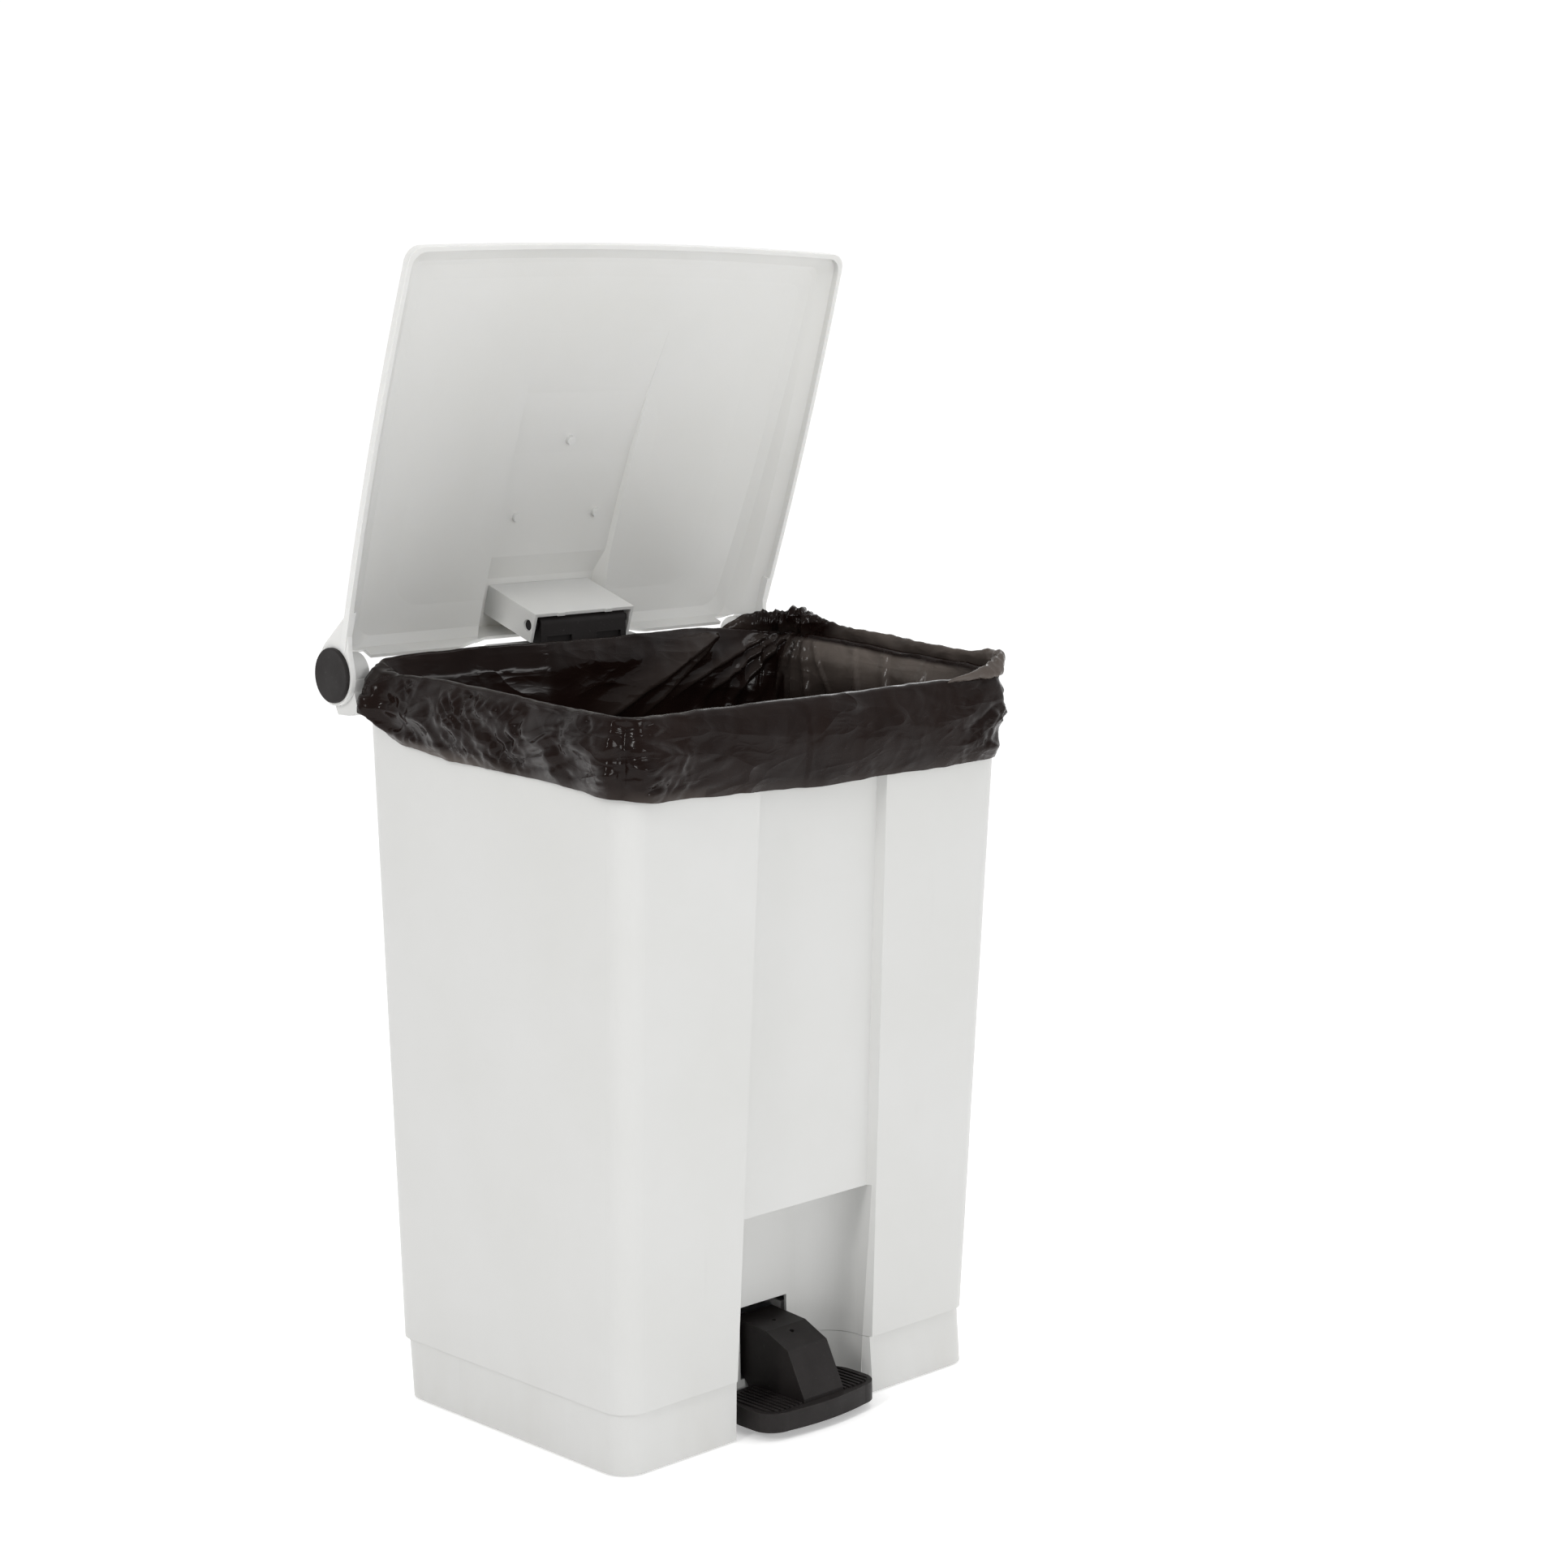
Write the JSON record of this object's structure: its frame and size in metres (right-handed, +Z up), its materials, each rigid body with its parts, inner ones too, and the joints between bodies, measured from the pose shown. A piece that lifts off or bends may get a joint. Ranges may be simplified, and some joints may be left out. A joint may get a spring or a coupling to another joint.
{
  "type": "pedal bin",
  "caption": "Step-on waste bin with a tapered white tub, hinged lid lifted by a pedal through a push rod, and a black film liner folded over the rim.",
  "frame": {"origin": "on the floor, midway between the two sides and between the front edge and the rear edge of the bin with its lid open", "axes": "+Z up, -Y toward the pedal at the front, +Y toward the lid hinge, X across the bin"},
  "size_m": [0.4262, 0.3424, 0.8679],
  "materials": {
    "white_body": "satin",
    "white_lid": "satin",
    "black_plastic": "matt, fine texture",
    "black_film": "glossy thin film",
    "natural_nylon": "satin",
    "grey_rubber": "matt",
    "zinc_steel": "zinc plated"
  },
  "bodies": {
    "bin": {"body_shell": "white_body", "base_tray": "white_body", "foot_pads": "grey_rubber", "base_screws": "zinc_steel", "rear_cover": "white_body", "cover_screws": "zinc_steel", "rod_guide": "natural_nylon", "hinge_bush_left": "natural_nylon", "hinge_bush_right": "natural_nylon", "axle_bush_left": "natural_nylon", "axle_bush_right": "natural_nylon", "pedal_stop": "grey_rubber", "bin_liner": "black_film"},
    "lid": {"lid_shell": "white_lid", "lift_bracket": "white_lid", "connector_pin": "black_plastic", "hinge_pin_left": "black_plastic", "hinge_pin_right": "black_plastic"},
    "push_rod": {"connector_block": "black_plastic", "lift_rod": "zinc_steel", "rod_locknut": "zinc_steel", "rod_foot": "natural_nylon"},
    "pedal_arm": {"pedal": "black_plastic", "pedal_lever": "zinc_steel", "lever_pad": "natural_nylon", "pedal_screws": "zinc_steel", "pedal_axle": "zinc_steel", "axle_clips": "zinc_steel"}
  },
  "joints": [
    {"name": "lid_hinge", "type": "hinge", "parent": "bin", "child": "lid", "pos_m": [0, 0.138, 0.555], "axis": [-1, 0, 0], "range_deg": [-73.5, 0]},
    {"name": "pedal_pivot", "type": "hinge", "parent": "bin", "child": "pedal_arm", "pos_m": [0, -0.071, 0.062], "axis": [1, 0, 0], "range_deg": [-15.2, 0]},
    {"name": "rod_pivot", "type": "hinge", "parent": "lid", "child": "push_rod", "pos_m": [0, 0.10965, 0.58212], "axis": [1, 0, 0], "range_deg": [-73.5, 0]}
  ],
  "couplings": [
    {"joint": "pedal_pivot", "follows": "lid_hinge", "ratio": 0.2068},
    {"joint": "rod_pivot", "follows": "lid_hinge", "ratio": 1}
  ]
}
